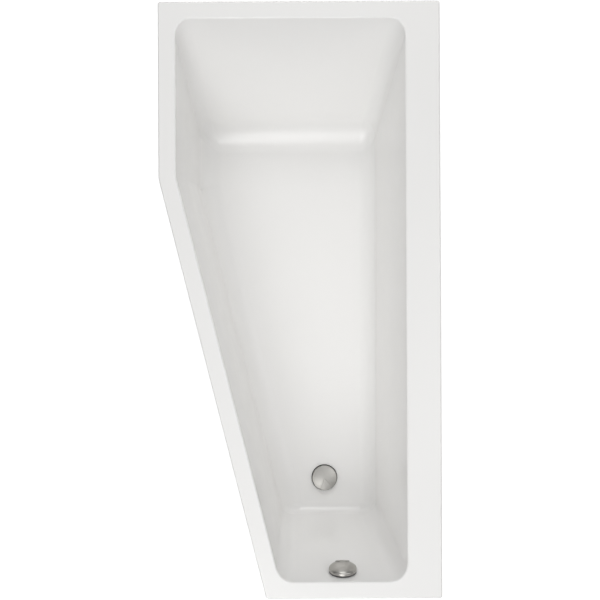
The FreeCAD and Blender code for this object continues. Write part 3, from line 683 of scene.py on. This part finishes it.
# control cable in its sheath, from the overflow's gland to the waste body's port
cable = {
    "route": [
        (0.074, -0.77273, 0.52823),
        (-0.0715, -0.77273, 0.52823),
        (-0.0715, -0.77273, 0.135),
        (-0.0715, -0.5332, 0.135),
        (0.0225, -0.5332, 0.135),
    ],
    "diameter": 0.006,
    "length": 0.72,
}


def splineCurve(name, route):
    curve = bpy.data.curves.new(name, "CURVE")
    curve.dimensions = "3D"
    spline = curve.splines.new("NURBS")
    spline.points.add(len(route) - 1)
    for point, place in zip(spline.points, route):
        point.co = (*place, 1.0)
    spline.order_u = 3
    spline.use_endpoint_u = True
    spline.resolution_u = 48
    line = bpy.data.objects.new(name, curve)
    scene.collection.objects.link(line)
    return line


def buildCable():
    piece = splineCurve("controlCable", cable["route"])
    piece.data.bevel_depth = cable["diameter"] / 2
    piece.data.bevel_resolution = 5
    piece.data.use_fill_caps = True
    piece.data.materials.append(finishes["cable_plastic"])
    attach(piece, "tub")
    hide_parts("cable_sheath")
    print("cable built")


buildCable()


# ribbed overflow hose: plain cuffs at both ends, grooves between the crests
hose = {
    "route": [(0.113, -0.75623, 0.46427), (0.113, -0.75623, 0.133), (0.08234, -0.59498, 0.133)],
    "crest": 0.014,
    "root": 0.0124,
    "wall": 0.0014,
    "cuff": 0.028,
    "ribs": 60,
    "rib": ((0.1, 1.0), (0.3, 0.0), (0.62, 0.0), (0.82, 1.0)),  # shares of pitch and height
    "segments": 32,
    "length": 0.41,
}


def readLine(name, route):
    line = splineCurve(name, route)
    bpy.context.view_layer.update()
    mesh = bpy.data.meshes.new_from_object(line.evaluated_get(bpy.context.evaluated_depsgraph_get()))
    points = [vert.co.copy() for vert in mesh.vertices]
    bpy.data.meshes.remove(mesh)
    bpy.data.curves.remove(line.data)
    return points


def alongLine(points, distance):
    for start, end in zip(points, points[1:]):
        run = (end - start).length
        if distance <= run:
            break
        distance -= run
    return start.lerp(end, min(distance / run, 1.0)), (end - start).normalized()


def hoseStations(total):
    stations = [(0.0, hose["crest"]), (hose["cuff"], hose["crest"])]
    pitch = (total - 2 * hose["cuff"]) / hose["ribs"]
    for i in range(hose["ribs"]):
        for place, height in hose["rib"]:
            radius = hose["root"] + (hose["crest"] - hose["root"]) * height
            stations.append((hose["cuff"] + pitch * (i + place), radius))
    return stations + [(total - hose["cuff"], hose["crest"]), (total, hose["crest"])]


def buildHose():
    points = readLine("hoseLine", hose["route"])
    total = sum((end - start).length for start, end in zip(points, points[1:]))
    across = (points[-1] - points[0]).cross(points[1] - points[0]).normalized()
    bm = bmesh.new()
    bmesh.ops.create_circle(bm, radius=1.0, segments=hose["segments"])
    verts = bm.verts[:]
    loop = bm.edges[:]
    last = Matrix.Identity(4)
    for i, (distance, radius) in enumerate(hoseStations(total)):
        centre, along = alongLine(points, distance)
        turn = Matrix((across, along.cross(across), along)).transposed().to_4x4()
        place = Matrix.Translation(centre) @ turn @ Matrix.Diagonal((radius, radius, radius, 1.0))
        if i:
            loop, verts = extrudeLoop(bm, loop)
        bmesh.ops.transform(bm, matrix=place @ last.inverted(), verts=verts)
        last = place
    bmesh.ops.recalc_face_normals(bm, faces=bm.faces[:])
    piece = newPiece("overflowHose", bm, finishes["grey_plastic"])
    wall = piece.modifiers.new("wall", "SOLIDIFY")
    wall.thickness = hose["wall"]
    wall.offset = -1.0
    applyModifiers(piece)
    smoothShade(piece, 65.0)
    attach(piece, "tub")
    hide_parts("overflow_hose")
    print("hose built,", round(total, 4), "m along its line")


buildHose()


# pale floor: white to the camera where no shadow falls
floorLook = {
    "size": 6.0,
    "colour": (0.5, 0.5, 0.5, 1.0),
    "lift": 0.8,
}


def backgroundRay(tree):
    path = addNode(tree, "ShaderNodeLightPath")
    total = path.outputs["Is Camera Ray"]
    for name in ("Is Glossy Ray", "Is Transmission Ray"):
        add = addNode(tree, "ShaderNodeMath", operation="MAXIMUM")
        tree.links.new(total, add.inputs[0])
        tree.links.new(path.outputs[name], add.inputs[1])
        total = add.outputs["Value"]
    return total


def addFloor():
    bm = bmesh.new()
    bmesh.ops.create_grid(bm, x_segments=4, y_segments=4, size=floorLook["size"])
    material = bpy.data.materials.new("studioFloor")
    material.use_nodes = True
    tree = material.node_tree
    tree.nodes.clear()
    base = addNode(tree, "ShaderNodeBsdfDiffuse", {"Color": floorLook["colour"]})
    glow = addNode(tree, "ShaderNodeEmission")
    lift = spread(tree, backgroundRay(tree), 0.0, floorLook["lift"])
    tree.links.new(lift, glow.inputs["Strength"])
    both = addNode(tree, "ShaderNodeAddShader")
    tree.links.new(base.outputs["BSDF"], both.inputs[0])
    tree.links.new(glow.outputs["Emission"], both.inputs[1])
    output = addNode(tree, "ShaderNodeOutputMaterial")
    tree.links.new(both.outputs["Shader"], output.inputs["Surface"])
    ground = newPiece("studioFloor", bm, material)


addFloor()


# soft surroundings, white to the camera, a key light beyond the foot end, and fills
studio = {
    "level": 0.15,
    "seen": 1.0,
    "aim": (0.0, 0.0, 0.4),
}
softboxes = {
    "key": {"place": (-0.4, -3.2, 3.8), "size": (2.2, 2.2), "radiance": 3.36},
    "keyFill": {"place": (-0.75, -1.8, 3.4), "size": (1.3, 1.2), "radiance": 1.9},
    "footFill": {"place": (-0.5, -2.6, 2.0), "size": (2.0, 1.5), "radiance": 1.25},
    "headHigh": {"place": (0.0, 2.3, 2.65), "size": (1.8, 0.7), "radiance": 3.5},
    "headMiddle": {"place": (0.0, 2.5, 2.1), "size": (2.0, 1.6), "radiance": 1.55},
    "headLow": {"place": (0.0, 2.6, 1.5), "size": (2.0, 1.7), "radiance": 0.25},
    "wallFill": {"place": (1.65, -0.2, 2.7), "size": (1.4, 2.2), "radiance": 1.35},
    "sideFill": {"place": (-1.8, -0.4, 2.6), "size": (1.5, 2.0), "radiance": 0.55},
    "overhead": {"place": (-0.1, -0.3, 3.2), "size": (2.4, 2.4), "radiance": 0.25},
    "overFoot": {"place": (0.05, -0.5, 2.4), "size": (1.2, 1.6), "radiance": 0.4},
}


def addWorld():
    made = bpy.data.worlds.new("studio")
    made.use_nodes = True
    tree = made.node_tree
    back = tree.nodes["Background"]
    back.inputs["Color"].default_value = (1.0, 1.0, 1.0, 1.0)
    path = addNode(tree, "ShaderNodeLightPath")
    level = spread(tree, path.outputs["Is Camera Ray"], studio["level"], studio["seen"])
    tree.links.new(level, back.inputs["Strength"])
    scene.world = made


def addSoftbox(name):
    look = softboxes[name]
    wide, high = look["size"]
    lamp = bpy.data.lights.new(name, "AREA")
    lamp.shape = "RECTANGLE"
    lamp.size = wide
    lamp.size_y = high
    lamp.energy = look["radiance"] * math.pi * wide * high
    softbox = bpy.data.objects.new(name, lamp)
    softbox.location = look["place"]
    aim = Vector(studio["aim"]) - softbox.location
    softbox.rotation_euler = aim.to_track_quat("-Z", "Y").to_euler()
    softbox.visible_camera = False
    scene.collection.objects.link(softbox)


addWorld()
for name in softboxes:
    addSoftbox(name)
print("floor and light set")
